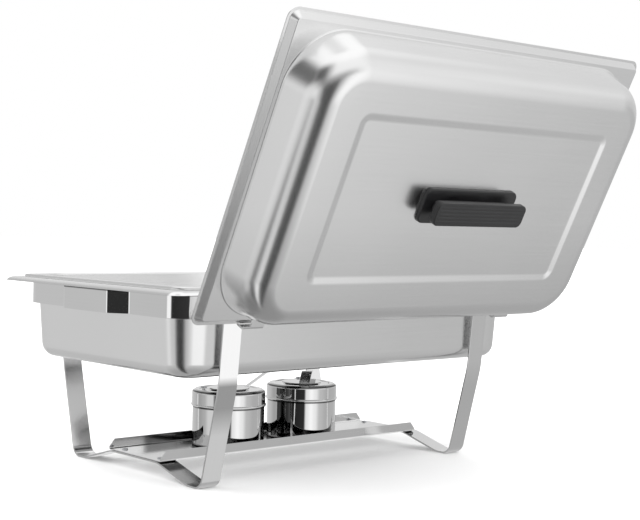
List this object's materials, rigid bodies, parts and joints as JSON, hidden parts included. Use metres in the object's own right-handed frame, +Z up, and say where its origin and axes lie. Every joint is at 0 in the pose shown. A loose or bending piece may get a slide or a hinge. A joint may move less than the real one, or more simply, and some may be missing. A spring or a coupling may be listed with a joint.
{
  "type": "chafing dish food warmer",
  "caption": "Roll-over chafing dish: water pan and food pan in a strip-leg stand with a lid that hangs open in hooks, over sliding fuel burners on a low tray.",
  "frame": {"origin": "centre of the stand on the table, under the middle of the pans", "axes": "+X along the long side, +Y away from the lid hooks across the short side, +Z up"},
  "size_m": [0.562, 0.5484, 0.4884],
  "materials": {
    "satin_steel": "satin brushed stainless",
    "polished_steel": "mirror polished stainless",
    "strip_steel": "satin stainless strip",
    "black_handle": "moulded phenolic, slight sheen",
    "zinc_hardware": "zinc plated",
    "tin_plate": "plain tin plate",
    "fuel_gel": "translucent gel"
  },
  "bodies": {
    "stand": {"frame_band": "polished_steel", "left_leg_strip": "strip_steel", "right_leg_strip": "strip_steel", "burner_shelf": "satin_steel", "shelf_rivets": "zinc_hardware", "left_lid_hook": "strip_steel", "right_lid_hook": "strip_steel"},
    "water_pan_body": {"water_pan": "satin_steel"},
    "food_pan_body": {"food_pan": "satin_steel"},
    "lid": {"lid_shell": "satin_steel", "lid_handle": "black_handle", "handle_screws": "zinc_hardware", "handle_washers": "zinc_hardware"},
    "left_burner": {"left_burner_cup": "polished_steel", "left_burner_lid": "polished_steel", "left_fuel_tin": "tin_plate", "left_fuel_gel": "fuel_gel", "left_cover_rivet": "zinc_hardware"},
    "right_burner": {"right_burner_cup": "polished_steel", "right_burner_lid": "polished_steel", "right_fuel_tin": "tin_plate", "right_fuel_gel": "fuel_gel", "right_cover_rivet": "zinc_hardware"},
    "left_cover": {"left_burner_cover": "polished_steel"},
    "right_cover": {"right_burner_cover": "polished_steel"}
  },
  "joints": [
    {"name": "lid_swing", "type": "hinge", "parent": "stand", "child": "lid", "pos_m": [0, -0.16809, 0.19469], "axis": [1, 0, 0], "range_deg": [-115.86, 0]},
    {"name": "water_pan_lift", "type": "slide", "parent": "stand", "child": "water_pan_body", "axis": [0, 0, 1], "range_m": [0, 0.15]},
    {"name": "food_pan_lift", "type": "slide", "parent": "water_pan_body", "child": "food_pan_body", "axis": [0, 0, 1], "range_m": [0, 0.12]},
    {"name": "left_burner_slide", "type": "slide", "parent": "stand", "child": "left_burner", "axis": [1, 0, 0], "range_m": [-0.083, 0.01]},
    {"name": "right_burner_slide", "type": "slide", "parent": "stand", "child": "right_burner", "axis": [1, 0, 0], "range_m": [-0.01, 0.108]},
    {"name": "left_cover_swing", "type": "hinge", "parent": "left_burner", "child": "left_cover", "pos_m": [-0.09926, 0.01295, 0.0877], "axis": [0, 0, 1], "range_deg": [0, 75]},
    {"name": "right_cover_swing", "type": "hinge", "parent": "right_burner", "child": "right_cover", "pos_m": [0.06261, 0.02585, 0.0877], "axis": [0, 0, 1], "range_deg": [0, 75]}
  ]
}
